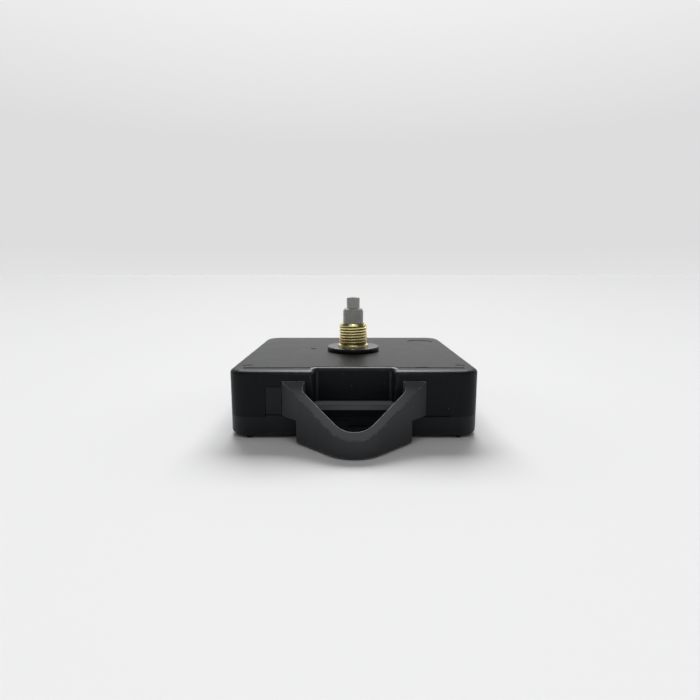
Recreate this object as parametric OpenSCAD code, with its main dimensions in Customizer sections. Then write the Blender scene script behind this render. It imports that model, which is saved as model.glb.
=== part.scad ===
// Quartz clock movement with a threaded dial bush and a hanging loop.
// The origin is on the hand shaft at the dial seat, the top of the rubber washer.
// +Z points out through the dial, -Y towards twelve o'clock and the hanging loop.

/* [Case] */
// Width and height of the square case
case_w = 57.4; // [56:0.1:58]
// Thickness from the case's dial face to its back
case_t = 15.5; // [15.5:0.1:16]
// Radius of the four upright corners
corner_r = 4.5; // [3.5:0.5:6]
// Radius of the rim round the dial face
rim_r = 1.2; // [1:0.1:2]
// Thickness of the wall behind the dial
front_wall = 1.3; // [1.2:0.1:1.4]
// Thickness of the side walls
side_wall = 1.5; // [1.4:0.1:1.6]
// Depth from the dial face to the seam with the back cover
seam_d = 10.9; // [10.9:0.1:11]
// Thickness of the back cover's floor
back_wall = 1.2; // [1.1:0.1:1.3]
// Height of the small feet on the back
foot_h = 0.4; // [0.3:0.1:0.6]

/* [Battery bay] */
// Lower edge of the bay, measured from the hand shaft
bay_y = 12; // [12:0.1:12.2]
// Width of the bay across the cell
bay_w = 14.8; // [14.6:0.1:14.8]
// Thickness of the strips that the contacts are bent from
strip_t = 0.3; // [0.25:0.05:0.35]

/* [Hanger] */
// Width of the recess in the case behind the hanging loop
recess_w = 18.3; // [16:0.1:19]
// Depth of that recess into the case
recess_in = 3.5; // [3:0.1:3.6]
// Depth of the recess's ledge below the dial face
recess_d = 8; // [7:0.1:8.2]
// Half width of the loop where it meets the case
loop_root = 16.4; // [16.2:0.1:16.6]
// Thickness of the loop's ribbon
loop_t = 1.9; // [1.7:0.1:2.1]
// Outer radius of the loop's nose
nose_r = 7.6; // [7:0.1:8]
// Depth of the ribbon's upper edge at the case
loop_top_d = 2.4; // [2.3:0.1:3.1]
// Slope of the ribbon's upper edge in degrees
loop_slope = 35.2; // [30:0.2:36]

/* [Bush and washer] */
// Outer diameter of the thread
thread_dia = 7.8; // [7.7:0.05:7.95]
// Pitch of the thread
thread_pitch = 0.75; // [0.75:0.05:0.75]
// Depth of the thread's groove
thread_deep = 0.42; // [0.35:0.01:0.45]
// Number of turns of thread
thread_turns = 7; // [5:1:7]
// Diameter of the plain collar under the thread
collar_dia = 8.4; // [8.3:0.1:8.5]
// Outer diameter of the rubber washer
washer_dia = 14.5; // [13:0.5:16]
// Thickness of the rubber washer
washer_t = 1.2; // [1:0.1:1.4]

/* [Hand shafts] */
// Diameter of the hour hand's seat
hour_dia = 5.6; // [5.5:0.05:5.65]
// Diameter of the minute hand's shaft
minute_dia = 3.6; // [3.5:0.05:3.65]
// Width of the minute shaft across its two flats
minute_flats = 3; // [2.8:0.1:3.2]
// Turn of those flats at rest, in degrees
flats_turn = 75; // [0:1:180]
// Diameter of the seconds arbor
second_dia = 1.5; // [1.4:0.05:1.5]
// Diameter of the seconds hand's socket
socket_dia = 0.8; // [0.6:0.05:0.9]
// Depth of that socket
socket_deep = 4; // [3:0.5:5]

/* [Gears] */
// Module of the seconds train
fine_m = 0.3; // [0.3:0.01:0.3]
// Module of the motion work
hand_m = 0.4; // [0.4:0.01:0.4]
// Teeth of the second wheel and the third wheel
second_teeth = 60; // [60:1:60]
// Teeth of the intermediate wheel
inter_teeth = 48; // [48:1:48]
// Teeth of the centre wheel
centre_teeth = 64; // [64:1:64]
// Teeth of the small seconds train pinions
fine_pinion = 8; // [8:1:8]
// Teeth of the intermediate wheel's pinion
inter_pinion = 12; // [12:1:12]
// Teeth of the minute arbor's pinion
cannon_teeth = 12; // [12:1:12]
// Teeth of the motion wheel
motion_teeth = 36; // [36:1:36]
// Teeth of the motion wheel's pinion
motion_pinion = 10; // [10:1:10]
// Teeth of the hour wheel
hour_teeth = 40; // [40:1:40]
// Teeth of the setting pinion
setting_teeth = 18; // [18:1:18]

/* [Hidden] */
$fn = 48;

half_w = case_w / 2;
inner = half_w - side_wall;
face_z = -washer_t;
eps = 0.01;
run_gap = 0.06;

// Depths below the dial face of the upper and lower side of each layer
hour_d = [2.2, 3.0];
motion_d = [3.25, 4.15];
centre_d = [4.8, 5.5];
clutch_d = [5.5, 5.9];
third_d = [6.8, 7.5];
second_d = [8.4, 9.1];
inter_d = [10.0, 10.7];
plate_d = [11.0, 11.7];
magnet_d = [12.1, 13.7];
core_d = [11.8, 12.5];
stator_d = [12.5, 13.2];
board_d = [12.0, 12.8];
floor_d = case_t - back_wall;
bush_top = 7.7;
hour_top = 11.8;
minute_top = 14.9;

// Pitch radii, and the gear axes that follow from them
pressure = 20;
tooth_top = 0.7;
tooth_root = 1.25;
play = 0.2;
function pitch_r(teeth, m) = teeth * m / 2;
third_a = pitch_r(fine_pinion + second_teeth, fine_m);
third_m = 2 * third_a / (fine_pinion + centre_teeth);
motion_a = pitch_r(cannon_teeth + motion_teeth, hand_m);
hour_m = 2 * motion_a / (motion_pinion + hour_teeth);
inter_a = pitch_r(second_teeth + inter_pinion, fine_m);
rotor_a = pitch_r(inter_teeth + fine_pinion, fine_m);
setting_a = pitch_r(motion_teeth + setting_teeth, hand_m);

third_dir = -10;
motion_dir = -90;
inter_dir = 200;
rotor_dir = 215;
setting_dir = -30;
function polar(r, a) = [r * cos(a), r * sin(a)];
function mean(v) = (v[0] + v[1]) / 2;
third_at = polar(third_a, third_dir);
motion_at = polar(motion_a, motion_dir);
inter_at = polar(inter_a, inter_dir);
rotor_at = inter_at + polar(rotor_a, rotor_dir);
setting_at = motion_at + polar(setting_a, setting_dir);

// The turn of gear b, at direction dir from gear a, that puts its teeth between those of a
function meshed(dir, a_turn, a_teeth, b_teeth) =
  dir + 180 + (dir - a_turn) * a_teeth / b_teeth + 180 / b_teeth;
motion_turn = meshed(motion_dir, 0, cannon_teeth, motion_teeth);

// Involute teeth: pinions are shifted out by half a module and wheels in
function involute(a) = (tan(a) - a * PI / 180) * 180 / PI;
function half_tooth(r, teeth, m, shift) =
  (PI / 2 + 2 * shift * tan(pressure) - play) / teeth * 180 / PI + involute(pressure)
  - involute(acos(min(1, pitch_r(teeth, m) * cos(pressure) / r)));
function tooth_radii(teeth, m, shift, steps) =
  let (low = pitch_r(teeth, m) - m * (tooth_root - shift),
       high = pitch_r(teeth, m) + m * (tooth_top + shift))
  [for (i = [0:steps]) low + (high - low) * i / steps];
function gear_points(teeth, m, shift, steps) =
  let (radii = tooth_radii(teeth, m, shift, steps))
  [for (k = [0:teeth - 1]) each concat(
    [for (i = [0:steps])
      polar(radii[i], k * 360 / teeth - half_tooth(radii[i], teeth, m, shift))],
    [for (i = [steps:-1:0])
      polar(radii[i], k * 360 / teeth + half_tooth(radii[i], teeth, m, shift))])];

module layer(d) {
  translate([0, 0, face_z - d[1]]) linear_extrude(height = d[1] - d[0]) children();
}
module disc(r, d) {
  translate([0, 0, face_z - d[1]]) cylinder(r = r, h = d[1] - d[0]);
}
module wheel_teeth(teeth, m, turn, d) {
  layer(d) rotate(turn) polygon(gear_points(teeth, m, -0.5, 2));
}
module pinion_teeth(teeth, m, turn, d) {
  layer(d) rotate(turn) polygon(gear_points(teeth, m, 0.5, 4));
}
module at(p) {
  translate([p[0], p[1], 0]) children();
}

// Outlines with round corners, as points
function arc(c, r, from, to, steps) =
  [for (i = [0:steps]) c + polar(r, from + (to - from) * i / steps)];
function rounded(low, high, r, steps = 8) = concat(
  arc([high[0] - r, high[1] - r], r, 0, 90, steps),
  arc([low[0] + r, high[1] - r], r, 90, 180, steps),
  arc([low[0] + r, low[1] + r], r, 180, 270, steps),
  arc([high[0] - r, low[1] + r], r, 270, 360, steps));
function rect(low, high) = [low, [high[0], low[1]], high, [low[0], high[1]]];
module block(low, high, r, d) {
  layer(d) polygon(rounded(low, high, r));
}

// Case
bay_far = bay_y + bay_w;
partition_t = 1;
bay_floor_d = 1;
cavity_r = 2;
bay_r = 1.5;
recess_wall = 1.3;
ledge_t = 1.2;
foot_slot = [11.8, 15.2, 4.6];
latch_top_d = 3.9;
latch_deep = 0.95;
latch_gap = 0.12;
// Each latch: the turn of its wall, its place along the wall and its width
latches = [[0, -18.2, 3.6], [90, -15, 6], [90, -2, 6], [-90, 2, 6], [-90, 15, 6]];
posts = [[-22.5, 8], [-22.5, -2], [22.5, 8], [22.5, -11.5]];
post_r = 1;
spigot_r = 0.55;
boss_r = 1.2;
pivot_r = 0.3;
pivot_hole_r = pivot_r + run_gap;
pivot_deep = 1.2;
third_boss_d = 4.3;
inter_boss_d = 7.9;
rotor_boss_d = 9.5;
setting_boss_d = 2.9;
setting_pivot_r = 0.6;
motion_post_r = 0.8;
notch_in = 0.9;
notch_w = 5.2;
notch_d = [4, 13];
pry_slots = [[-25.1, 6.2 - half_w], [25.1, 6.2 - half_w]];
pry_half = [1.2, 0.35];
pry_in = 0.7;
slit_at = [15.6, 3.6 - half_w];
slit_size = [2.9, 0.35];
mould_mark = [21.2, 16.3];
mould_mark_r = 4;
gate_mark = [-11.4, 2];
gate_mark_r = 0.8;
mark_in = 0.12;
// Dark slits on the hanger's side: x from, x to and depth of each
near_slits = [[-20.3, -16.4, 10.35], [14.5, 22, 10.8]];
slit_t = 0.22;
slit_in = 0.5;

side_half = half_w - corner_r;
rim_steps = 8;
module case_outline(d) {
  layer(d) square([2 * side_half, case_w], center = true);
  layer(d) square([case_w, 2 * side_half], center = true);
  for (x = [-1, 1], y = [-1, 1]) at([x * side_half, y * side_half]) disc(corner_r, d);
}
// What the round rim leaves off a wall or corner whose outer side is at this distance
function rim_section(out) = concat(
  arc([out - rim_r, face_z - rim_r], rim_r, 90, 0, rim_steps),
  [[out + 1, face_z - rim_r], [out + 1, face_z + 1], [out - rim_r, face_z + 1]]);
module rim_cut() {
  for (a = [0:90:270]) rotate(a) {
    rotate([90, 0, 90]) translate([0, 0, -side_half])
      linear_extrude(height = 2 * side_half) polygon(rim_section(half_w));
    at([side_half, side_half]) rotate_extrude(angle = 90) polygon(rim_section(corner_r));
  }
}
module main_room(d) {
  block([-inner, -inner], [inner, bay_y - partition_t], cavity_r, d);
}
module bay_room(d) {
  block([-inner, bay_y], [inner, bay_far], bay_r, d);
}
module latch_shape(spot, d, gap) {
  rotate(spot[0]) layer(d)
    translate([spot[1] - spot[2] / 2 - gap, -half_w - 1])
      square([spot[2] + 2 * gap, 1 + latch_deep + gap]);
}
module near_slit_cuts() {
  for (s = near_slits)
    layer([s[2] - slit_t / 2, s[2] + slit_t / 2])
      polygon(rect([s[0], -half_w - 1], [s[1], slit_in - half_w]));
}
module boss(p, r, d) {
  at(p) disc(r, [front_wall - eps, d]);
}
module boss_hole(p, r, d) {
  at(p) disc(r, [d - pivot_deep, d + 1]);
}

module front_case() {
  color([0.09, 0.09, 0.1]) difference() {
    union() {
      difference() {
        case_outline([0, seam_d]);
        main_room([front_wall, seam_d + 1]);
        bay_room([bay_floor_d, seam_d + 1]);
      }
      block([-recess_w / 2 - recess_wall, -inner - 1],
            [recess_w / 2 + recess_wall, recess_in + recess_wall - half_w], 0.6,
            [front_wall - eps, recess_d + ledge_t]);
      boss(third_at, boss_r, third_boss_d);
      boss(inter_at, boss_r, inter_boss_d);
      boss(rotor_at, boss_r, rotor_boss_d);
      boss(setting_at, boss_r + 0.3, setting_boss_d);
      at(motion_at) disc(motion_post_r, [front_wall - eps, motion_d[1] + 0.3]);
      for (p = posts) at(p) {
        disc(post_r, [front_wall - eps, plate_d[0]]);
        disc(spigot_r, [front_wall - eps, plate_d[1] - 0.1]);
      }
    }
    rim_cut();
    // Recess behind the loop, open at the top and in front
    block([-recess_w / 2, -half_w - 2], [recess_w / 2, recess_in - half_w], 1,
          [-1, recess_d]);
    disc(collar_dia / 2, [-1, front_wall + 1]);
    boss_hole(third_at, pivot_hole_r, third_boss_d);
    boss_hole(inter_at, pivot_hole_r, inter_boss_d);
    boss_hole(rotor_at, pivot_hole_r, rotor_boss_d);
    boss_hole(setting_at, setting_pivot_r + run_gap, setting_boss_d);
    for (spot = latches) latch_shape(spot, [latch_top_d - latch_gap, seam_d + 1], latch_gap);
    near_slit_cuts();
    for (s = [-1, 1]) {
      // Slots that the loop's feet slide into from the back
      at([s * mean(foot_slot), -half_w])
        layer([foot_slot[2], seam_d + 1])
          square([foot_slot[1] - foot_slot[0], 4], center = true);
      // Ways for the contact strips past the partition
      at([s * (inner - notch_in / 2), bay_y - partition_t / 2])
        layer([notch_d[0], seam_d + 1]) square([notch_in, notch_w], center = true);
    }
    // Shallow marks on the dial side
    for (p = pry_slots) at(p) layer([-1, pry_in])
      polygon(rounded(-pry_half, pry_half, 0.3, 3));
    at(slit_at) layer([-1, slit_in]) square(slit_size, center = true);
    at(mould_mark) disc(mould_mark_r, [-1, mark_in]);
    at(gate_mark) disc(gate_mark_r, [-1, mark_in]);
  }
}

// Back cover
well_r = 6.1;
knob_r = 5.8;
knob_d = [13.5, 15.3];
cup_t = 0.8;
shaft_r = 1.1;
cup_d = knob_d[0] - 0.1;
foot_in = 1.1;
feet = [[-24.1, foot_in - half_w], [24.1, foot_in - half_w],
  [-22, half_w - foot_in], [22, half_w - foot_in]];
foot_r = 0.6;
lip_t = 0.6;
lip_up = 1;
lip_y = -7;
lip_len = 22;
board_pegs = [[6, 8], [23.5, -6]];
peg_r = 0.9;
stop_at = [0.7, -half_w - 0.6];
stop_size = [4.4, 1.6];
stop_top_d = 13.2;

module back_cover() {
  color([0.12, 0.12, 0.13]) difference() {
    union() {
      difference() {
        case_outline([seam_d, case_t]);
        main_room([seam_d - 1, floor_d]);
        bay_room([seam_d - 1, case_t + 1]);
      }
      for (spot = latches) intersection() {
        latch_shape(spot, [latch_top_d, seam_d + eps], 0);
        case_outline([0, seam_d + 1]);
      }
      for (s = [-1, 1])
        at([s * (inner - lip_t / 2 - 0.05), lip_y])
          layer([seam_d - lip_up, floor_d + eps]) square([lip_t, lip_len], center = true);
      at(setting_at) disc(well_r + cup_t, [cup_d - cup_t, floor_d + eps]);
      at(rotor_at) disc(boss_r, [magnet_d[1] + 0.2, floor_d + eps]);
      for (p = board_pegs) at(p) {
        disc(peg_r, [board_d[1], floor_d + eps]);
        disc(spigot_r, [board_d[0] + 0.1, floor_d + eps]);
      }
      for (p = feet) at(p) disc(foot_r, [case_t - eps, case_t + foot_h]);
      // Small stop lug inside the hanging loop
      at(stop_at) layer([stop_top_d, case_t]) square(stop_size, center = true);
    }
    near_slit_cuts();
    at(setting_at) disc(well_r, [cup_d, case_t + 1]);
    at(setting_at) disc(shaft_r + run_gap, [cup_d - 2, cup_d + 1]);
    at(rotor_at) disc(pivot_hole_r, [magnet_d[1] - 1, magnet_d[1] + 1.1]);
    // Strip ways past the partition
    for (s = [-1, 1])
      at([s * (inner - notch_in / 2), bay_y - partition_t / 2])
        layer([seam_d - 1, notch_d[1]]) square([notch_in, notch_w], center = true);
  }
}

// Hanging loop: a V ribbon whose legs run at 45 degrees
inner_root = loop_root - loop_t * sqrt(2);
nose_c = loop_root - nose_r * sqrt(2);
fillet_r = 2.2;
fillet_x = 9.2;
fillet_p = inner_root - fillet_r * sqrt(2) - fillet_x;
fillet_end = asin(fillet_p / fillet_r);
tip_p = nose_c + nose_r;
leg_cut = 12.8;
cut_d = 10.6;
foot_gap = 0.08;
flange_y = [-inner + 0.05, -inner + 1];
flange_x = [10.7, 16];
flange_top_d = 4;

// Points are x and the distance p in front of the case
function loop_outer() = concat(
  [[loop_root, 0]],
  arc([0, nose_c], nose_r, 45, 135, 20),
  [[-loop_root, 0]]);
function loop_inner() = concat(
  arc([fillet_x, fillet_p], fillet_r, -fillet_end, 45, 8),
  arc([0, nose_c], nose_r - loop_t, 45, 135, 20),
  arc([-fillet_x, fillet_p], fillet_r, 135, 180 + fillet_end, 8));

module hanger() {
  color([0.13, 0.14, 0.16]) {
    difference() {
      intersection() {
        translate([0, -half_w, 0]) mirror([0, 1, 0]) layer([loop_top_d - 1, case_t])
          difference() {
            polygon(loop_outer());
            polygon(concat(loop_inner(), [[-inner_root + 2, -1], [inner_root - 2, -1]]));
          }
        // Side view of the slope along the ribbon's upper edge
        rotate([90, 0, 90]) translate([0, 0, -half_w]) linear_extrude(height = case_w)
          polygon([
            [-half_w, face_z - loop_top_d],
            [-half_w - tip_p - 1, face_z - loop_top_d - (tip_p + 1) * tan(loop_slope)],
            [-half_w - tip_p - 1, face_z - case_t],
            [-half_w, face_z - case_t]
          ]);
      }
      // The legs stop short of the case below the notch
      for (s = [-1, 1])
        at([s * (leg_cut + 3), -half_w]) layer([cut_d, case_t + 1])
          square([6, 20], center = true);
    }
    for (s = [-1, 1]) {
      at([s * mean(foot_slot), (-half_w + flange_y[1]) / 2])
        layer([foot_slot[2] + foot_gap, cut_d])
          square([foot_slot[1] - foot_slot[0] - 2 * foot_gap, flange_y[1] + half_w],
                 center = true);
      at([s * mean(flange_x), mean(flange_y)])
        layer([flange_top_d, cut_d])
          square([flange_x[1] - flange_x[0], flange_y[1] - flange_y[0]], center = true);
    }
  }
}

// Bush and washer
thread_r = thread_dia / 2;
crest = 0.32;
collar_top = 1.9;
neck = 0.35;
bush_flange_r = 5.2;
bush_flange_d = 0.7;
hour_run_r = 3;
bush_bore_r = hour_run_r + 0.05;

module rubber_washer() {
  color([0.1, 0.1, 0.11]) difference() {
    translate([0, 0, face_z]) cylinder(r = washer_dia / 2, h = washer_t);
    translate([0, 0, face_z - 1]) cylinder(r = collar_dia / 2 + 0.05, h = washer_t + 2);
  }
}

// Half section of the bush, with a row of grooves for the thread
function groove(z) = [
  [thread_r, z + crest],
  [thread_r - thread_deep, z + crest + (thread_pitch - crest) * 0.4],
  [thread_r - thread_deep, z + crest + (thread_pitch - crest) * 0.6],
  [thread_r, z + thread_pitch]
];
thread_from = collar_top + neck;
thread_to = thread_from + (thread_turns - 1) * thread_pitch + crest;
function bush_section() = concat(
  [[bush_bore_r, -front_wall - bush_flange_d], [bush_flange_r, -front_wall - bush_flange_d],
   [bush_flange_r, -front_wall], [collar_dia / 2, -front_wall],
   [collar_dia / 2, collar_top], [thread_r - thread_deep, collar_top + 0.1],
   [thread_r - thread_deep, thread_from - 0.15], [thread_r, thread_from]],
  [for (i = [0:thread_turns - 2]) each groove(thread_from + i * thread_pitch)],
  [[thread_r, thread_to], [thread_r - 0.5, bush_top], [bush_bore_r, bush_top]]);

module threaded_bush() {
  color([0.78, 0.66, 0.34]) translate([0, 0, face_z])
    rotate_extrude($fn = 96) polygon(bush_section());
}

// Hands' shafts
hour_r = hour_dia / 2;
minute_r = minute_dia / 2;
second_r = second_dia / 2;
socket_r = socket_dia / 2;
lower_r = 1.4;
shoulder = bush_top + 0.05;
hour_neck = shoulder + 0.15;
hour_chamfer = 0.4;
clutch_flange_d = [6.0, 6.3];
clutch_flange_r = 2.1;
tip_drop = 0.25;
second_foot_d = 10.6;

module tube(outer, bore, low, high) {
  translate([0, 0, face_z]) difference() {
    translate([0, 0, low]) cylinder(r = outer, h = high - low);
    translate([0, 0, low - 1]) cylinder(r = bore, h = high - low + 2);
  }
}
module hour_wheel() {
  bore = minute_r + run_gap;
  color([0.62, 0.63, 0.6]) difference() {
    union() {
      wheel_teeth(hour_teeth, hour_m, meshed(motion_dir + 180, 0, motion_pinion, hour_teeth),
                  hour_d);
      translate([0, 0, face_z]) rotate_extrude($fn = 96) polygon([
        [bore, -hour_d[1]], [hour_run_r, -hour_d[1]], [hour_run_r, shoulder],
        [hour_r, hour_neck], [hour_r, hour_top - hour_chamfer],
        [hour_r - hour_chamfer, hour_top], [bore, hour_top]]);
    }
    translate([0, 0, face_z - hour_d[1] - 1]) cylinder(r = bore, h = 20);
  }
}

module minute_arbor() {
  bore = second_r + run_gap;
  color([0.56, 0.57, 0.54]) difference() {
    union() {
      pinion_teeth(cannon_teeth, hand_m, 0, motion_d);
      tube(minute_r, bore, -motion_d[1], minute_top);
      tube(lower_r, bore, -clutch_flange_d[1], -motion_d[1] + eps);
      tube(clutch_flange_r, bore, -clutch_flange_d[1], -clutch_flange_d[0]);
    }
    // Two flats above the hour hand's tube
    rotate(flats_turn) for (s = [-1, 1])
      translate([s * (minute_flats / 2 + 2), 0, face_z + (hour_top + minute_top + 1) / 2 + 0.1])
        cube([4, 8, minute_top + 1 - hour_top], center = true);
    translate([0, 0, face_z - 8]) cylinder(r = bore, h = 30);
  }
}
module seconds_arbor() {
  top = minute_top - tip_drop;
  color([0.7, 0.71, 0.72]) translate([0, 0, face_z]) difference() {
    union() {
      translate([0, 0, -second_foot_d]) cylinder(r = second_r, h = second_foot_d + top);
      translate([0, 0, -plate_d[1] + 0.1]) cylinder(r = pivot_r, h = 2);
    }
    translate([0, 0, top - socket_deep]) cylinder(r = socket_r, h = socket_deep + 1);
  }
}

// Seconds train
module lightened(r, count, hole, d) {
  difference() {
    children();
    for (k = [0:count - 1]) rotate((k + 0.5) * 360 / count)
      at([r, 0]) disc(hole, [d[0] - 1, d[1] + 1]);
  }
}
module second_wheel() {
  color([0.86, 0.85, 0.8]) difference() {
    union() {
      lightened(5.2, 4, 1.7, second_d) wheel_teeth(second_teeth, fine_m, 0, second_d);
      pinion_teeth(fine_pinion, fine_m, 0, [third_d[0] - 0.15, second_d[0] + eps]);
      disc(1.9, [second_d[0] - 0.3, second_d[1] + 0.4]);
    }
    disc(second_r, [0, 12]);
  }
}
module third_wheel() {
  color([0.86, 0.85, 0.8]) at(third_at) {
    lightened(5.2, 4, 1.7, third_d) wheel_teeth(second_teeth, fine_m,
      meshed(third_dir, 0, fine_pinion, second_teeth), third_d);
    pinion_teeth(fine_pinion, third_m, 0, [third_boss_d + 0.25, third_d[0] + eps]);
    disc(0.6, [third_boss_d + 0.25, plate_d[0] - 0.3]);
    disc(pivot_r, [third_boss_d - 1, plate_d[1] - 0.2]);
  }
}
module centre_wheel() {
  color([0.86, 0.85, 0.8]) difference() {
    lightened(5.4, 4, 1.7, centre_d) wheel_teeth(centre_teeth, third_m,
      meshed(third_dir + 180, 0, fine_pinion, centre_teeth), centre_d);
    disc(lower_r + run_gap, [3, 8]);
  }
}
module clutch_spring() {
  ring = [clutch_d[1] - 0.2, clutch_d[1]];
  color([0.75, 0.76, 0.78]) difference() {
    union() {
      disc(2.2, ring);
      for (k = [0:2]) rotate(k * 120) {
        at([2.6, 0]) layer(ring) square([2, 0.9], center = true);
        at([3.4, 0]) layer([clutch_d[0], ring[0] + eps]) square([0.4, 0.9], center = true);
      }
    }
    disc(lower_r + run_gap, [4, 8]);
  }
}
module intermediate_wheel() {
  color([0.86, 0.85, 0.8]) at(inter_at) {
    lightened(4.4, 4, 1.3, inter_d) wheel_teeth(inter_teeth, fine_m, 0, inter_d);
    pinion_teeth(inter_pinion, fine_m, meshed(inter_dir, 0, second_teeth, inter_pinion),
                 [inter_boss_d + 0.2, inter_d[0] + eps]);
    disc(pivot_r, [inter_boss_d - 1, plate_d[1] - 0.2]);
    disc(0.6, [inter_boss_d + 0.2, plate_d[0] - 0.15]);
  }
}
hub_r = 0.9;
module rotor_pinion() {
  color([0.9, 0.9, 0.86]) at(rotor_at) {
    pinion_teeth(fine_pinion, fine_m, meshed(rotor_dir, 0, inter_teeth, fine_pinion),
                 [rotor_boss_d + 0.2, 10.9]);
    disc(hub_r, [10.8, magnet_d[1]]);
    disc(pivot_r, [rotor_boss_d - 1, magnet_d[1] + 1]);
  }
}
magnet_r = 3;
module rotor_magnet() {
  color([0.35, 0.34, 0.36]) at(rotor_at) difference() {
    disc(magnet_r, magnet_d);
    disc(hub_r, [magnet_d[0] - 1, magnet_d[1] + 1]);
  }
}

// Motion work and setting
module motion_wheel() {
  color([0.86, 0.85, 0.8]) at(motion_at) difference() {
    union() {
      lightened(4.2, 4, 1.3, motion_d)
        wheel_teeth(motion_teeth, hand_m, motion_turn, motion_d);
      pinion_teeth(motion_pinion, hour_m, 0, [hour_d[0] - 0.05, motion_d[0] + eps]);
    }
    disc(motion_post_r + run_gap, [0, 6]);
  }
}
module setting_knob() {
  grips = 24;
  color([0.15, 0.15, 0.16]) at(setting_at) {
    difference() {
      disc(knob_r, knob_d);
      for (k = [0:grips - 1]) rotate(k * 360 / grips)
        at([knob_r + 0.15, 0]) disc(0.4, [knob_d[0] + 0.4, knob_d[1] + 1]);
      disc(3.6, [knob_d[1] - 0.5, knob_d[1] + 1]);
    }
    // Thumb bar across the dished face
    layer([knob_d[1] - 0.6, knob_d[1]]) square([7.3, 1.2], center = true);
    disc(shaft_r, [setting_boss_d + 0.2, knob_d[0] + eps]);
    disc(setting_pivot_r, [setting_boss_d - 1, setting_boss_d + 1]);
  }
}
module setting_pinion() {
  color([0.9, 0.9, 0.86]) at(setting_at) difference() {
    pinion_teeth(setting_teeth, hand_m,
                 meshed(setting_dir, motion_turn, motion_teeth, setting_teeth), motion_d);
    disc(shaft_r, [0, 8]);
  }
}

// Motor: stator, coil and its core
coil_y = -19;
coil_x = [-20.5, -4.7];
core_half = 1.2;
leg_l = [-24.5, -20.7];
leg_r = [-4.5, -0.5];
stator_hole_r = 3.4;
stator_pins = [[-22.6, -11], [-8, -13]];
stator_pin_r = 0.5;
stator_bar_y = [-15.9, -12];
pole_ring_r = 5.4;
leg_half = 2;
coil_mid_d = mean(core_d);
flange_half = [2.5, 2];

module stator() {
  color([0.6, 0.6, 0.62]) difference() {
    layer(stator_d) difference() {
      union() {
        translate(rotor_at) circle(r = pole_ring_r, $fn = 64);
        polygon(rect([leg_l[0], coil_y - leg_half], [leg_l[1], rotor_at[1] + 2]));
        polygon(rect([leg_l[0] + 1, rotor_at[1] - 3], [rotor_at[0], rotor_at[1] + 1.9]));
        polygon(rect([rotor_at[0], stator_bar_y[0]], [leg_r[1], stator_bar_y[1]]));
        polygon(rect([leg_r[0], coil_y - leg_half], [leg_r[1], stator_bar_y[1] - 0.1]));
      }
      // Thin necks on both sides of the rotor
      for (a = [65, 245]) translate(rotor_at + polar(pole_ring_r + 0.2, a))
        circle(r = 1.6, $fn = 32);
    }
    at(rotor_at) disc(stator_hole_r, [stator_d[0] - 1, stator_d[1] + 1]);
    for (p = stator_pins) at(p) disc(stator_pin_r, [stator_d[0] - 1, stator_d[1] + 1]);
  }
}
module coil_core() {
  color([0.6, 0.6, 0.62]) layer(core_d) {
    polygon(rect([leg_l[0], coil_y - core_half], [leg_r[1], coil_y + core_half]));
    polygon(rect([leg_l[0], coil_y - leg_half], [leg_l[1], coil_y + leg_half]));
    polygon(rect([leg_r[0], coil_y - leg_half], [leg_r[1], coil_y + leg_half]));
  }
}
// A rounded bar along X round the coil's core, from x[0] to x[1]
module coil_bar(x, half, r) {
  translate([x[0], coil_y, face_z - coil_mid_d]) rotate([90, 0, 90])
    linear_extrude(height = x[1] - x[0]) polygon(rounded(-half, half, r, 5));
}
module core_hole(x) {
  translate([x[0] - 1, coil_y, face_z - coil_mid_d]) rotate([90, 0, 90])
    linear_extrude(height = x[1] - x[0] + 2)
      square([2 * core_half, core_d[1] - core_d[0]], center = true);
}
sleeve_half = [1.6, 0.75];
flange_t = 0.6;
module coil_bobbin() {
  color([0.85, 0.83, 0.7]) difference() {
    union() {
      coil_bar(coil_x, sleeve_half, 0.2);
      coil_bar([coil_x[0], coil_x[0] + flange_t], flange_half, 0.4);
      coil_bar([coil_x[1] - flange_t, coil_x[1]], flange_half, 0.4);
    }
    core_hole(coil_x);
  }
}
module coil_winding() {
  turns_x = [coil_x[0] + flange_t, coil_x[1] - flange_t];
  color([0.72, 0.4, 0.2]) difference() {
    coil_bar(turns_x, flange_half - [0.3, 0.25], 0.9);
    coil_bar([turns_x[0] - 1, turns_x[1] + 1], sleeve_half, 0.2);
  }
}
// Two flat leads from the bobbin's flange round the knob's cup to the board
lead_w = 0.3;
lead_d = [13.55, 13.85];
lead_start = [[coil_x[1], -17.5], [coil_x[1], -18.4]];
lead_turn = [[0.9, -6.2], [1.75, -7.1]];
lead_end_x = 5.2;
module coil_leads() {
  w = lead_w / 2;
  color([0.72, 0.4, 0.2]) for (k = [0, 1]) {
    from = lead_start[k];
    turn = lead_turn[k];
    layer(lead_d) {
      polygon(rect([from[0], from[1] - w], [turn[0] + w, from[1] + w]));
      polygon(rect([turn[0] - w, from[1] - w], [turn[0] + w, turn[1] + w]));
      polygon(rect([turn[0] - w, turn[1] - w], [lead_end_x, turn[1] + w]));
    }
    layer([board_d[1], lead_d[1]])
      polygon(rect([lead_end_x - lead_w, turn[1] - w], [lead_end_x, turn[1] + w]));
  }
}

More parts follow.
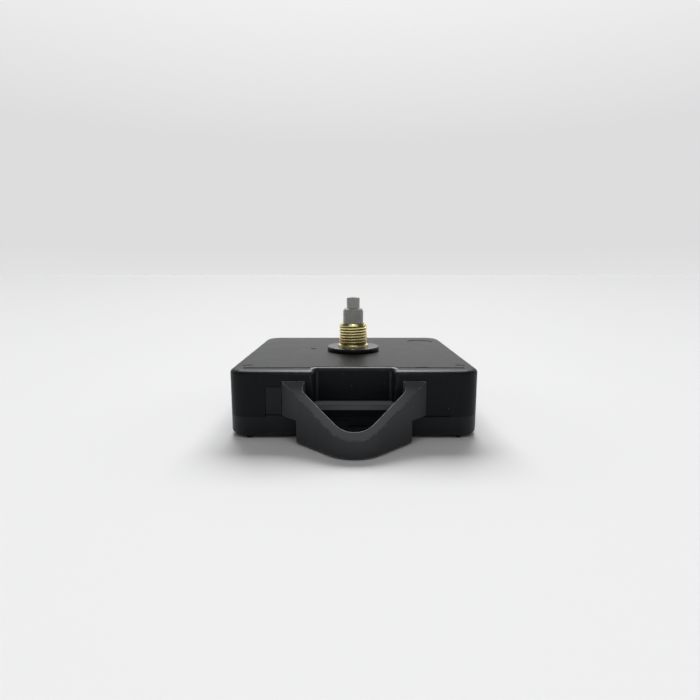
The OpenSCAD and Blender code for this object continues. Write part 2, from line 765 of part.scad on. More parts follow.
// Electronics and battery contacts
board = [[4, -7.5], [25.5, 9.7]];
blob_at = [16.5, 3.5];
crystal_at = [9.5, -4.6];
module circuit_board() {
  color([0.1, 0.35, 0.2]) difference() {
    block(board[0], board[1], 0.6, board_d);
    for (p = board_pegs) at(p) disc(spigot_r + 0.05, [board_d[0] - 1, board_d[1] + 1]);
  }
}
module chip_blob() {
  color([0.05, 0.05, 0.05]) at(blob_at) intersection() {
    translate([0, 0, face_z - board_d[1] + 3.4]) sphere(r = 4.5, $fn = 48);
    disc(5, [board_d[1], board_d[1] + 2]);
  }
}
module quartz_crystal() {
  r = 0.68;
  color([0.8, 0.8, 0.82])
    translate([crystal_at[0], crystal_at[1], face_z - board_d[1] - r]) rotate([0, 90, 0]) {
      cylinder(r = r, h = 5.2, $fn = 32);
      translate([0, 0, -0.5]) cylinder(r = r - 0.12, h = 0.5, $fn = 32);
      for (s = [-0.3, 0.3]) translate([0, s, -2]) cylinder(r = 0.12, h = 2, $fn = 16);
    }
}
strip_in_d = [9, board_d[0]];
strip_bay_d = [4.2, 12.4];
strip_x = inner - 0.05;
// Both strips go round the partition: one ends at the board's edge, one runs along it
tail_y = 9.35;
tab_x = 21;
long_tail_y = 10.2;
long_tail_x = 6.5;
strip_end_y = 25.2;
pass_y = bay_y + 0.6;
button_r = [3, 2.4];
button_out = 0.35;
leaf_bulge = 2.6;
leaf_y = [14.2, 25];
leaf_mid = mean(leaf_y);
leaf_r = (pow((leaf_y[1] - leaf_y[0]) / 2, 2) + pow(leaf_bulge, 2)) / (2 * leaf_bulge);
leaf_c = -strip_x + strip_t + leaf_bulge - leaf_r;
leaf_half = asin((leaf_y[1] - leaf_y[0]) / 2 / leaf_r);

module positive_contact() {
  color([0.78, 0.79, 0.8]) difference() {
    union() {
      layer(strip_bay_d) polygon(rect([strip_x - strip_t, tail_y], [strip_x, strip_end_y]));
      // The bay's button of the contact, pressed forward for the cell's cap
      translate([strip_x - strip_t, bay_y + bay_w / 2, face_z - mean(strip_bay_d)])
        rotate([0, -90, 0]) cylinder(r1 = button_r[0], r2 = button_r[1], h = button_out);
      layer(strip_in_d) polygon(rect([tab_x, tail_y], [strip_x, tail_y + strip_t]));
    }
    // Only the upper half of the strip goes on to the board
    for (d = [[0, strip_in_d[0]], [strip_in_d[1], case_t]])
      layer(d) polygon(rect([tab_x - 1, tail_y - 1], [strip_x + 1, pass_y]));
  }
}
module negative_contact() {
  color([0.78, 0.79, 0.8]) {
    layer(strip_in_d) {
      polygon(rect([-strip_x, long_tail_y], [-strip_x + strip_t, leaf_y[0]]));
      polygon(rect([-strip_x, long_tail_y], [long_tail_x, long_tail_y + strip_t]));
    }
    layer(strip_bay_d) {
      polygon(rect([-strip_x, pass_y], [-strip_x + strip_t, leaf_y[0] + 1]));
      polygon(concat(
        arc([leaf_c, leaf_mid], leaf_r, -leaf_half, leaf_half, 14),
        arc([leaf_c, leaf_mid], leaf_r - strip_t, leaf_half, -leaf_half, 14)));
    }
  }
}
plate_low = [-24, -13.9];
plate_high = [24.5, 9.1];
plate_ear_r = 3;
magnet_way_r = 1.6;
module middle_plate() {
  color([0.8, 0.8, 0.76]) difference() {
    union() {
      block(plate_low, plate_high, 1.5, plate_d);
      at(setting_at) disc(plate_ear_r, plate_d);
      for (p = stator_pins) at(p) {
        disc(stator_pin_r + 0.4, [plate_d[1] - eps, stator_d[0]]);
        disc(stator_pin_r, [plate_d[1] - eps, stator_d[1] - 0.05]);
      }
    }
    for (p = [[0, 0], third_at, inter_at])
      at(p) disc(pivot_hole_r, [plate_d[0] - 1, plate_d[1] + 1]);
    for (p = posts) at(p) disc(spigot_r + 0.02, [plate_d[0] - 1, plate_d[1] + 1]);
    at(rotor_at) disc(magnet_way_r, [plate_d[0] - 1, plate_d[1] + 1]);
    at(setting_at) disc(shaft_r + 0.2, [plate_d[0] - 1, plate_d[1] + 1]);
  }
}

front_case();
back_cover();
hanger();
rubber_washer();
threaded_bush();
hour_wheel();
minute_arbor();
seconds_arbor();
second_wheel();
third_wheel();
centre_wheel();
clutch_spring();
motion_wheel();
intermediate_wheel();
rotor_pinion();
rotor_magnet();
stator();
coil_core();
coil_bobbin();
coil_winding();
coil_leads();
circuit_board();
chip_blob();
quartz_crystal();
positive_contact();
negative_contact();
middle_plate();
setting_knob();
setting_pinion();
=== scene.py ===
# %% [markdown]
# # A quartz clock movement, dressed for its picture
#
# The real object is a square black box of moulded plastic, 57 mm wide and 15.5 mm thick.
# A threaded brass bush rises from its dial side, with a grey tube for the hour hand and a
# thinner grey shaft for the minute hand inside it. A V shaped loop hangs it on a nail.
# Gears, a small step motor and the battery's contacts are inside.
#
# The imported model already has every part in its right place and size, but its edges are
# knife sharp and its surfaces bare. This script could model everything again from nothing,
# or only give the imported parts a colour. It takes a middle way: the parts that the eye
# meets are worked over in mesh code, and the hidden ones keep their meshes and get a finish.

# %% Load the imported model
import math

import bmesh
import bpy
from mathutils import Matrix, Vector


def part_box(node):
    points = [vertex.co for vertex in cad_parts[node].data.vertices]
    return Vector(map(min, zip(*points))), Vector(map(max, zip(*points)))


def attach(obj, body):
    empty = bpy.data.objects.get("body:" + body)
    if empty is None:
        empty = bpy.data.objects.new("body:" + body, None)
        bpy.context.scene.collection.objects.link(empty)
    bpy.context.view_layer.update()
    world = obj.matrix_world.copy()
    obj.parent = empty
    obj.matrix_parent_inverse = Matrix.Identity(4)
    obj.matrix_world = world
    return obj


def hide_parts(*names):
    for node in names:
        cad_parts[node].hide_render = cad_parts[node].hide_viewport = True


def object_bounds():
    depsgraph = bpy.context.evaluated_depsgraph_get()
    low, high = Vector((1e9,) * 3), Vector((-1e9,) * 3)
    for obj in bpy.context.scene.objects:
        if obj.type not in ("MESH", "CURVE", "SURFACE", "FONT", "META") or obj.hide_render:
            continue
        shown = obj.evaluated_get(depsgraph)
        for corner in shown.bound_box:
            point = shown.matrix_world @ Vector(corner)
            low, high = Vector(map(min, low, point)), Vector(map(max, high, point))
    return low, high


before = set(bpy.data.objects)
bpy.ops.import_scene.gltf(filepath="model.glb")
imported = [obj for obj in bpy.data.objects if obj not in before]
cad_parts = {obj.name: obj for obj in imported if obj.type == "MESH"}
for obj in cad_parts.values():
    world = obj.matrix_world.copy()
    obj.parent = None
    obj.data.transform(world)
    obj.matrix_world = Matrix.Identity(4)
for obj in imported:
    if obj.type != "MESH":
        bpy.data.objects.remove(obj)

cad_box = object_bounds()
mm = 0.001

# %% [markdown]
# ## The camera
#
# The photograph looks along +Y from just above the table, a hand's width from the box, so
# the square dial side shrinks strongly towards the back. A short lens close by gives that
# shape. A longer lens from further off would frame the box as large, but flatten it.
# The camera is made before anything else, because every later choice is judged through it.

# %% Camera
camera_place, tilt_down = Vector((-0.9, -131.9, 20.1)), 9.19
camera = bpy.data.objects.new("Camera", bpy.data.cameras.new("Camera"))
bpy.context.scene.collection.objects.link(camera)
bpy.context.scene.camera = camera
camera.location = camera_place * mm
camera.rotation_euler = (math.radians(90 - tilt_down), 0, 0)
camera.data.sensor_width = 36
camera.data.lens = 24.2
camera.data.clip_start = 2 * mm
camera.data.clip_end = 20
above_table = camera.location.z - cad_box[0].z
print("camera height above the table in mm:", round(above_table / mm, 1))

# %% [markdown]
# ## Working helpers for meshes
#
# A imported mesh is a heap of loose triangles. To round its edges, a copy is welded and its
# flat areas are joined into whole faces, so that an edge on the part is an edge in the mesh.
# The imported mesh itself is never touched: the copy becomes a new piece that stands for it.
#
# A rounded edge could come from a Bevel modifier, which rounds by angle. Here it is cut with
# the bevel operator on edges chosen by where they are, because a moulded box has a wide
# round on its rim and hardly any on its slots. The rounding's middle is marked in an
# attribute named "edge", which the finishes read to show wear. The same mark also paints
# light: a pale ledge in the recess, and a painted highlight on the loop's upper inner edges.
#
# A smooth shaded rounding would also bend the light on the broad faces beside it. So each
# broad face is given the lead in the Weighted Normal modifier, and stays exactly flat.

# %% Mesh helpers
# Points nearer to each other than this, in mm, count as being in the same place.
close = 0.01
# A square from this width in mm, or a long strip from half of it, counts as a broad face.
broad_from = 0.8
# The face weight that the Weighted Normal modifier reads as strong.
leads = 16384


def height(vert):
    return vert.co.z / mm


def at_level(vert, z):
    return abs(height(vert) - z) < close


def middle(face):
    return face.calc_center_median() / mm


def welded_copy(node, lowest=None):
    """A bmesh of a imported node, welded, with each flat area made one face.

    What stands out below the height lowest is cut off, and its root is closed.
    """
    shape = bmesh.new()
    shape.from_mesh(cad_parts[node].data)
    bmesh.ops.remove_doubles(shape, verts=shape.verts, dist=0.002 * mm)
    if lowest is not None:
        below = [f for f in shape.faces if min(height(v) for v in f.verts) < lowest - close]
        bmesh.ops.delete(shape, geom=below, context="FACES")
        open_edges = [e for e in shape.edges if e.is_boundary]
        bmesh.ops.holes_fill(shape, edges=open_edges, sides=0)
    bmesh.ops.dissolve_limit(
        shape, angle_limit=math.radians(0.5), verts=shape.verts, edges=shape.edges
    )
    shape.normal_update()
    return shape


def turn(edge):
    """How far the surface turns over an edge, in degrees: above 0 on an outer corner."""
    return math.degrees(edge.calc_face_angle_signed(0))


def outer_edges(shape, least_turn, test):
    """The edges that turn outward by more than this, and whose points all pass the test."""
    return [e for e in shape.edges if turn(e) > least_turn and all(test(v) for v in e.verts)]


def edge_marks(shape):
    """The layer that says how far a point may show wear, or painted light on the ledge and the loop.
    """
    numbers = shape.verts.layers.float
    return numbers.get("edge") or numbers.new("edge")


def round_edges(shape, edges, radius, segments, safe=True):
    """Rounds these edges and marks the middle of each rounding for wear, or on the loop for a
    painted highlight.
    """
    mark = edge_marks(shape)
    before = set(shape.faces)
    bmesh.ops.bevel(
        shape, geom=edges, offset=radius * mm, offset_type="OFFSET", segments=segments,
        profile=0.5, affect="EDGES", material=-1, clamp_overlap=safe,
    )
    new = set(shape.faces) - before
    for face in new:
        for vert in face.verts:
            if all(other in new for other in vert.link_faces):
                vert[mark] = 1
    shape.normal_update()
    return len(edges)


def cut_faces(shape, faces, point, normal):
    """Cuts these faces, and no others, along the plane through a point in mm."""
    around = dict.fromkeys([e for f in faces for e in f.edges] + [v for f in faces for v in f.verts])
    bmesh.ops.bisect_plane(shape, geom=faces + list(around), dist=1e-7,
                           plane_co=Vector(point) * mm, plane_no=normal)


def is_broad(face):
    """True for a face that is broad both ways, and isn't one strip of a rounding."""
    return 4 * face.calc_area() > broad_from * mm * face.calc_perimeter()


def finish_piece(name, shape, finish, body, stands_for=(), sharp=32):
    """Makes a bmesh a shown piece: smooth where it is round, with its finish and its body.

    Broad faces lead: a rounding beside one takes its normal. No wear spreads into them,
    except where a mark above 1 asks for it, as for the ledge's painted light.
    """
    mark = edge_marks(shape)
    weight = shape.faces.layers.int.new("__mod_weightednormals_faceweight")
    for face in shape.faces:
        if is_broad(face):
            face[weight] = leads
            for vert in face.verts:
                if vert[mark] <= 1:
                    vert[mark] = 0
    many_sided = [f for f in shape.faces if len(f.verts) > 4]
    bmesh.ops.triangulate(shape, faces=many_sided, ngon_method="BEAUTY")
    mesh = bpy.data.meshes.new(name)
    shape.to_mesh(mesh)
    shape.free()
    if "custom_normal" in mesh.attributes:
        mesh.attributes.remove(mesh.attributes["custom_normal"])
    mesh.materials.clear()
    mesh.materials.append(finish)
    mesh.polygons.foreach_set("material_index", [0] * len(mesh.polygons))
    mesh.shade_smooth()
    mesh.set_sharp_from_angle(angle=math.radians(sharp))
    piece = bpy.data.objects.new(name, mesh)
    bpy.context.scene.collection.objects.link(piece)
    even = piece.modifiers.new("Even normals", "WEIGHTED_NORMAL")
    even.keep_sharp = True
    even.use_face_influence = True
    even.weight = 100
    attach(piece, body)
    if stands_for:
        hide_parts(*stands_for)
    print(name, "has", len(mesh.polygons), "faces")
    return piece


# %% [markdown]
# ## Working helpers for finishes
#
# A finish is a small graph of nodes. Writing each node and link out in full takes several
# lines, so one helper adds a node and fills its inputs, with a number, a colour, or the
# output of another node. A second one starts a node group with named sockets. A group is
# the right place for an effect that many finishes share, such as moulded grain: it is built
# once, and each finish then gives it its own strength.

# %% Node helpers
def feed(tree, node, inputs):
    """Fills a node's inputs, each with a value or with the output socket that feeds it."""
    for key, value in inputs.items():
        if isinstance(value, bpy.types.NodeSocket):
            tree.links.new(value, node.inputs[key])
        else:
            node.inputs[key].default_value = value


def add(tree, kind, inputs=None, **settings):
    """Adds a shader node and fills its inputs."""
    node = tree.nodes.new("ShaderNode" + kind)
    for name, value in settings.items():
        setattr(node, name, value)
    feed(tree, node, inputs or {})
    return node


def start_group(name, inputs, outputs):
    """An empty node group with these sockets, and its two ends. None asks for a vector."""
    group = bpy.data.node_groups.new(name, "ShaderNodeTree")
    for label, value in inputs.items():
        kind = "NodeSocketVector" if value is None else "NodeSocketFloat"
        socket = group.interface.new_socket(label, in_out="INPUT", socket_type=kind)
        if value is not None:
            socket.default_value = value
    for label in outputs:
        group.interface.new_socket(label, in_out="OUTPUT", socket_type="NodeSocketFloat")
    ends = group.nodes.new("NodeGroupInput").outputs, group.nodes.new("NodeGroupOutput").inputs
    return group, *ends


def place(tree, group, inputs=None):
    """Puts a node group in a finish, with its own values."""
    node = tree.nodes.new("ShaderNodeGroup")
    node.node_tree = group
    feed(tree, node, inputs or {})
    return node.outputs


def maths(tree, operation, *values):
    return add(tree, "Math", dict(enumerate(values)), operation=operation).outputs[0]


def stretch(tree, value, low, high, new_low, new_high):
    """Maps a value from one range to another, and clamps it."""
    return add(tree, "MapRange", {
        "Value": value, "From Min": low, "From Max": high,
        "To Min": new_low, "To Max": new_high}).outputs["Result"]


def noise(tree, vector, scale, detail=2.0, roughness=0.5):
    return add(tree, "TexNoise", {
        "Vector": vector, "Scale": scale, "Detail": detail, "Roughness": roughness,
    }).outputs["Fac"]


# %% [markdown]
# ## Shared effects
#
# *Moulded grain* is the fine spark-eroded texture that a steel mould leaves on plastic, a
# tenth of a millimetre across, over slow waves where the wall has sunk a little in cooling.
#
# *Handling* is what fingers and a workbench leave: cloudy smudges that change the gloss, a
# few hair thin scratches, and specks of dust. A painted picture could hold these, but a
# picture has a fixed size, while noise has detail at any distance.
#
# *Wear and light on edges* reads the "edge" mark of a piece and breaks it up, so that a worn
# corner is patchy. The same mark also paints light: a pale ledge and a painted highlight on
# the loop's inner edges. *Drawn lines* are the fine parallel lines of turned and rolled metal:
# noise that the finish squeezes along one axis.

# %% Shared node groups
def build_grain():
    group, given, out = start_group(
        "Moulded grain", {"Size": 0.14, "Sink": 0.3}, ["Height", "Tone"])
    here = add(group, "TexCoord").outputs["Object"]
    fine_scale = maths(group, "DIVIDE", 1 / mm, given["Size"])
    fine = noise(group, here, fine_scale, 3)
    slow = noise(group, here, 0.16 / mm, 1)
    group.links.new(maths(group, "ADD", fine, maths(group, "MULTIPLY", slow, given["Sink"])),
                    out["Height"])
    group.links.new(noise(group, here, 0.7 / mm, 4, 0.6), out["Tone"])
    return group


def build_handling():
    group, given, out = start_group(
        "Handling", {"Scratches": 1, "Dust": 1}, ["Smudge", "Scratch", "Speck"])
    here = add(group, "TexCoord").outputs["Object"]
    cloud = noise(group, here, 0.12 / mm, 5, 0.62)
    group.links.new(stretch(group, cloud, 0.4, 0.68, 0, 1), out["Smudge"])
    hairs = []
    for angle, scale in ((22, (0.05, 2.6, 0.4)), (-57, (0.04, 3.1, 0.4)), (80, (0.06, 2.2, 0.5))):
        along = add(group, "Mapping", {
            "Vector": here, "Rotation": (0, 0, math.radians(angle)),
            "Scale": Vector(scale) / mm}).outputs[0]
        hairs.append(stretch(group, noise(group, along, 1, 1), 0.735, 0.765, 0, 1))
    most = maths(group, "MAXIMUM", hairs[0], maths(group, "MAXIMUM", hairs[1], hairs[2]))
    group.links.new(maths(group, "MULTIPLY", most, given["Scratches"]), out["Scratch"])
    cells = add(group, "TexVoronoi", {"Vector": here, "Scale": 0.55 / mm})
    dot = stretch(group, cells.outputs["Distance"], 0.03, 0.05, 1, 0)
    chosen = add(group, "SeparateColor", {"Color": cells.outputs["Color"]}).outputs[0]
    few = maths(group, "MULTIPLY", dot, maths(group, "GREATER_THAN", chosen, 0.55))
    group.links.new(maths(group, "MULTIPLY", few, given["Dust"]), out["Speck"])
    return group


def build_wear_and_light():
    group, given, out = start_group("Worn and lit edges", {"Edge": 0, "Amount": 1}, ["Worn"])
    here = add(group, "TexCoord").outputs["Object"]
    # The patches never fall below 0.12, so a very high mark, such as the ledge's painted light,
    # covers without gaps.
    patches = stretch(group, noise(group, here, 0.9 / mm, 4, 0.7), 0.38, 0.7, 0.12, 1)
    wear_or_light_mask = maths(group, "MULTIPLY", given["Edge"], patches)
    group.links.new(maths(group, "MULTIPLY", wear_or_light_mask, given["Amount"]), out["Worn"])
    return group


def build_lines():
    group, given, out = start_group("Drawn lines", {"Vector": None}, ["Height", "Tone"])
    fine = noise(group, given["Vector"], 9, 4, 0.7)
    broad = noise(group, given["Vector"], 1.4, 2)
    group.links.new(maths(group, "ADD", fine, maths(group, "MULTIPLY", broad, 0.5)),
                    out["Height"])
    group.links.new(stretch(group, broad, 0.3, 0.7, 0, 1), out["Tone"])
    return group


grain = build_grain()
handling = build_handling()
wear_and_light_group = build_wear_and_light()
drawn_lines = build_lines()
print("groups:", [g.name for g in bpy.data.node_groups])

# %% [markdown]
# ## Plastic and rubber
#
# Every plastic here is the same idea with other values: a base colour that drifts slightly,
# a gloss that smudges break up, grain in the bump, and a little wear on the edges. Black
# plastic looks black because it has hardly any colour of its own: what the eye reads is the
# reflection, so its gloss matters more than its colour.

# %% Plastic finish
def new_finish(name):
    finish = bpy.data.materials.new(name)
    finish.use_nodes = True
    return finish, finish.node_tree, finish.node_tree.nodes["Principled BSDF"]


def opaque(colour):
    """A colour with its opacity added, or the socket that it comes from."""
    return colour if isinstance(colour, bpy.types.NodeSocket) else (*colour, 1)


def blend_colours(tree, amount, first, second):
    """From the first colour to the second. The numbers are the node's sockets for colours."""
    ends = {0: amount, 6: opaque(first), 7: opaque(second)}
    return add(tree, "Mix", ends, data_type="RGBA").outputs[2]


dust_colour = (0.45, 0.44, 0.42)


def plastic(name, dark, light, gloss, reflect=0.5, size=0.14, depth=0.012,
            wear_and_light_colour=(0.2, 0.2, 0.2), wear_and_light_amount=0.25, dust=0.4, rubbed=(0, 0.3)):
    """A moulded plastic. gloss is the roughness of its clean and of its smudged places.

    rubbed says how far its rounded edges are polished, as a clear coat's weight and roughness.
    The wear colour and amount give worn edges, and also the painted light that a piece marks
    this way, such as the ledge and the loop's upper inner edges.
    """
    finish, tree, shader = new_finish(name)
    moulded = place(tree, grain, {"Size": size})
    marks = place(tree, handling)
    edge = add(tree, "Attribute", attribute_name="edge").outputs["Fac"]
    wear_or_light_mask = place(tree, wear_and_light_group, {"Edge": edge, "Amount": wear_and_light_amount})["Worn"]
    base = blend_colours(tree, stretch(tree, moulded["Tone"], 0.35, 0.65, 0, 1), dark, light)
    base = blend_colours(tree, maths(tree, "MULTIPLY", marks["Speck"], dust), base, dust_colour)
    # Worn edges take the wear colour, and the same colour paints light on the ledge and the loop's
    # inner edges.
    base = blend_colours(tree, wear_or_light_mask, base, wear_and_light_colour)
    rough = stretch(tree, marks["Smudge"], 0, 1, *gloss)
    rough = maths(tree, "SUBTRACT", rough, maths(tree, "MULTIPLY", marks["Scratch"], 0.12))
    bump_in = maths(tree, "SUBTRACT", moulded["Height"],
                    maths(tree, "MULTIPLY", marks["Scratch"], 0.5))
    bump = add(tree, "Bump", {"Height": bump_in, "Distance": depth * mm, "Strength": 0.6})
    polish = maths(tree, "MULTIPLY", maths(tree, "MINIMUM", edge, 1), rubbed[0])
    feed(tree, shader, {
        "Base Color": base, "Roughness": rough, "Normal": bump.outputs[0], "IOR": 1.46,
        "Specular IOR Level": reflect, "Coat Weight": polish, "Coat Roughness": rubbed[1]})
    return finish


# The case's pale wear colour also paints the ledge in the recess: painted light on its top and
# front.
black_case = plastic("Black case plastic", (0.0135, 0.015, 0.0172), (0.0147, 0.0162, 0.0186),
                     (0.34, 0.39), reflect=0.07, depth=0.0015, wear_and_light_colour=(0.23, 0.235, 0.245),
                     wear_and_light_amount=0.08, rubbed=(0.35, 0.36))
# The cover's black is painted a little lighter than the case's: painted light from the bright floor
# on the lower band.
black_cover_painted_lighter = plastic("Black cover plastic, painted lighter", (0.0175, 0.0195, 0.0225), (0.019, 0.021, 0.0242),
                      (0.36, 0.42), reflect=0.15, depth=0.0015, wear_and_light_amount=0.12)
# The loop's pale wear colour, at three times the strength, is a painted highlight on its upper inner
# edges.
black_loop = plastic("Black loop plastic", (0.022, 0.0238, 0.0268), (0.024, 0.0258, 0.029),
                     (0.46, 0.52), reflect=0.5, size=0.11, depth=0.002,
                     wear_and_light_colour=(0.4, 0.405, 0.42), wear_and_light_amount=3, rubbed=(1, 0.3))
black_rubber = plastic("Black rubber", (0.01, 0.011, 0.013), (0.013, 0.014, 0.016),
                       (0.2, 0.28), reflect=0.5, size=0.2, depth=0.006)
knob_plastic = plastic("Knob plastic", (0.012, 0.013, 0.015), (0.02, 0.021, 0.024),
                       (0.4, 0.5), reflect=0.4)
hour_plastic = plastic("Grey hour tube plastic", (0.34, 0.35, 0.32), (0.4, 0.41, 0.375),
                       (0.34, 0.42), size=0.1, depth=0.008,
                       wear_and_light_colour=(0.55, 0.55, 0.52), dust=0.2)
# The minute shaft's grey is painted lighter than the hour tube's: painted light, as the higher shaft
# stands in more light.
minute_plastic_painted_lighter = plastic("Grey minute shaft plastic, painted lighter", (0.4, 0.41, 0.375), (0.46, 0.47, 0.43),
                         (0.34, 0.42), size=0.1, depth=0.008,
                         wear_and_light_colour=(0.55, 0.55, 0.52), dust=0.2)
wheel_plastic = plastic("Natural wheel plastic", (0.66, 0.64, 0.57), (0.74, 0.72, 0.65),
                        (0.34, 0.44), size=0.12, depth=0.006, wear_and_light_amount=0, dust=0.1)
bobbin_plastic = plastic("Bobbin plastic", (0.62, 0.57, 0.38), (0.7, 0.65, 0.46),
                         (0.36, 0.46), size=0.12, depth=0.008, wear_and_light_amount=0, dust=0.1)
print("plastics:", len(bpy.data.materials))

# %% [markdown]
# ## Metal
#
# The bush is turned from brass bar, so its lines run round the shaft. Squeezing the noise
# along Z alone gives rings at any radius. The groove bottoms are painted darker as shade, so
# the colour also depends on the distance from the shaft's axis, which the node graph works out
# from X and Y. Sheet parts are rolled, and their lines run along the strip.

# %% Metal finishes
def metal(name, bright, dull, gloss, squeeze, depth=0.004, groove_shade=None):
    """A metal with drawn lines.

    The last argument, when given, is painted shade in the hollows, as four things: the radius
    up to which it is full, the radius where it ends, the height where it ends, and its colour.
    """
    finish, tree, shader = new_finish(name)
    here = add(tree, "TexCoord").outputs["Object"]
    along = add(tree, "Mapping", {"Vector": here, "Scale": Vector(squeeze) / mm}).outputs[0]
    lines = place(tree, drawn_lines, {"Vector": along})
    marks = place(tree, handling, {"Scratches": 0.6, "Dust": 0.5})
    base = blend_colours(tree, lines["Tone"], bright, dull)
    base = blend_colours(tree, maths(tree, "MULTIPLY", marks["Smudge"], 0.5), base, dull)
    rough = stretch(tree, marks["Smudge"], 0, 1, *gloss)
    # Painted shade: darker in the thread's grooves and the bore, below the thread's top.
    if groove_shade:
        low, high, groove_shade_top, groove_shade_colour = groove_shade
        xyz = add(tree, "SeparateXYZ", {"Vector": here})
        flat = add(tree, "CombineXYZ", {"X": xyz.outputs["X"], "Y": xyz.outputs["Y"]})
        radius = add(tree, "VectorMath", {0: flat.outputs[0]}, operation="LENGTH")
        depth_in = stretch(tree, radius.outputs["Value"], low * mm, high * mm, 1, 0)
        patches = stretch(tree, noise(tree, here, 0.6 / mm, 4), 0.3, 0.6, 0.55, 1)
        below = stretch(tree, xyz.outputs["Z"], (groove_shade_top - 0.05) * mm, groove_shade_top * mm, 1, 0)
        groove_shade_mask = maths(tree, "MULTIPLY", maths(tree, "MULTIPLY", depth_in, below), patches)
        base = blend_colours(tree, groove_shade_mask, base, groove_shade_colour)
        rough = maths(tree, "ADD", rough, maths(tree, "MULTIPLY", groove_shade_mask, 0.18))
    bump = add(tree, "Bump", {"Height": lines["Height"], "Distance": depth * mm, "Strength": 0.5})
    feed(tree, shader, {
        "Base Color": base, "Roughness": rough, "Normal": bump.outputs[0], "Metallic": 1})
    return finish


# The dark brown inside radius 3.8 mm is painted shade in the thread's grooves and bore.
turned_brass = metal("Turned brass", (0.93, 0.84, 0.45), (0.86, 0.75, 0.36), (0.24, 0.3),
                     (0.02, 0.02, 2.0), depth=0.0012, groove_shade=(3.58, 3.8, 5.85, (0.16, 0.11, 0.02)))
ground_steel = metal("Ground steel", (0.66, 0.67, 0.68), (0.5, 0.51, 0.52), (0.2, 0.32),
                     (0.02, 0.02, 3.0))
plated_steel = metal("Nickel plated strip", (0.72, 0.71, 0.68), (0.6, 0.59, 0.57),
                     (0.18, 0.3), (0.05, 0.05, 2.5))
stamped_iron = metal("Stamped soft iron", (0.5, 0.5, 0.51), (0.38, 0.38, 0.4),
                     (0.32, 0.45), (0.05, 2.5, 2.5))
crystal_can = metal("Crystal can", (0.74, 0.75, 0.77), (0.62, 0.63, 0.65), (0.15, 0.25),
                    (2.5, 0.05, 0.05))

# %% [markdown]
# ## Small finishes inside
#
# These are seen only when the box is open, but each is still what it is: enamelled copper
# wire laid turn beside turn with painted shade between the turns, a green board with its
# tracks under the lacquer, a drop of black resin over the chip, and a sintered magnet. Bands
# and cells come from formulas.

# %% Inner finishes
def coil_copper():
    finish, tree, shader = new_finish("Enamelled copper wire")
    here = add(tree, "TexCoord").outputs["Object"]
    turns = add(tree, "TexWave", {"Vector": here, "Scale": 2.4 / mm, "Distortion": 0.6,
                                  "Detail": 1.0}, bands_direction="X").outputs["Fac"]
    # Painted shade and highlight: darker in the grooves between turns, lighter on their crests.
    base = blend_colours(tree, turns, (0.3, 0.09, 0.03), (0.78, 0.34, 0.15))
    bump = add(tree, "Bump", {"Height": turns, "Distance": 0.03 * mm})
    feed(tree, shader, {
        "Base Color": base, "Roughness": 0.3, "Normal": bump.outputs[0], "Metallic": 1,
        "Coat Weight": 0.6})
    return finish


def green_board():
    finish, tree, shader = new_finish("Lacquered board")
    here = add(tree, "TexCoord").outputs["Object"]
    cells = add(tree, "TexVoronoi", {"Vector": here, "Scale": 0.42 / mm, "Randomness": 0.35},
                feature="DISTANCE_TO_EDGE").outputs["Distance"]
    track = stretch(tree, cells, 0.07, 0.1, 1, 0)
    weave = noise(tree, here, 3 / mm, 2)
    base = blend_colours(tree, track, (0.012, 0.09, 0.03), (0.03, 0.19, 0.07))
    base = blend_colours(tree, maths(tree, "MULTIPLY", weave, 0.3), base, (0.02, 0.06, 0.03))
    bump = add(tree, "Bump", {"Height": track, "Distance": 0.03 * mm})
    feed(tree, shader, {"Base Color": base, "Roughness": 0.28, "Normal": bump.outputs[0]})
    return finish


def chip_resin():
    finish, tree, shader = new_finish("Chip resin")
    here = add(tree, "TexCoord").outputs["Object"]
    flow = noise(tree, here, 0.5 / mm, 3)
    base = blend_colours(tree, flow, (0.006, 0.006, 0.007), (0.014, 0.014, 0.015))
    bump = add(tree, "Bump", {"Height": flow, "Distance": 0.08 * mm})
    rough = stretch(tree, flow, 0.3, 0.7, 0.12, 0.26)
    feed(tree, shader, {"Base Color": base, "Roughness": rough, "Normal": bump.outputs[0]})
    return finish


def sintered_magnet():
    finish, tree, shader = new_finish("Sintered magnet")
    here = add(tree, "TexCoord").outputs["Object"]
    pores = noise(tree, here, 6 / mm, 4, 0.7)
    base = blend_colours(tree, pores, (0.07, 0.07, 0.075), (0.2, 0.2, 0.21))
    bump = add(tree, "Bump", {"Height": pores, "Distance": 0.02 * mm})
    rough = stretch(tree, pores, 0.3, 0.7, 0.35, 0.6)
    feed(tree, shader, {
        "Base Color": base, "Roughness": rough, "Normal": bump.outputs[0], "Metallic": 0.8})
    return finish


wire, board_green, resin, magnet = coil_copper(), green_board(), chip_resin(), sintered_magnet()
print("finishes:", len(bpy.data.materials))

# %% [markdown]
# ## The front case
#
# The case is one injection moulding. Its dial rim already has a wide round in the packed
# part. The recess behind the loop has a softer one on its upper edge and its two upright
# corners. They meet, so they are rounded in one cut, and the operator builds the small ball
# shaped corners where they join. The ledge at the recess's foot has a much smaller round on
# its front edge, which is cut after them. The thin edges at the seam and the latch windows
# get only a hair's width, enough for a fine line of light.
#
# The dial side is a flat panel, and round it runs a shoulder that lies a tenth of a
# millimetre lower and falls gently to the rim. Planes cut the flat faces along the panel's
# four sides, an inset draws its edge, and every point outside it is then pressed down by
# an amount that depends on its distance from the wall. Seen from the front, the step is a
# thin dark line.
#
# The ledge is painted as a plain bar, paler than the plastic round it: painted light on its
# top and front, where light from overhead falls. A second material would split the piece.
# Instead, the ledge's top and the strip in front of it are framed by a narrow inset, and their
# points get an edge mark so high that the painted light leaves no gaps.

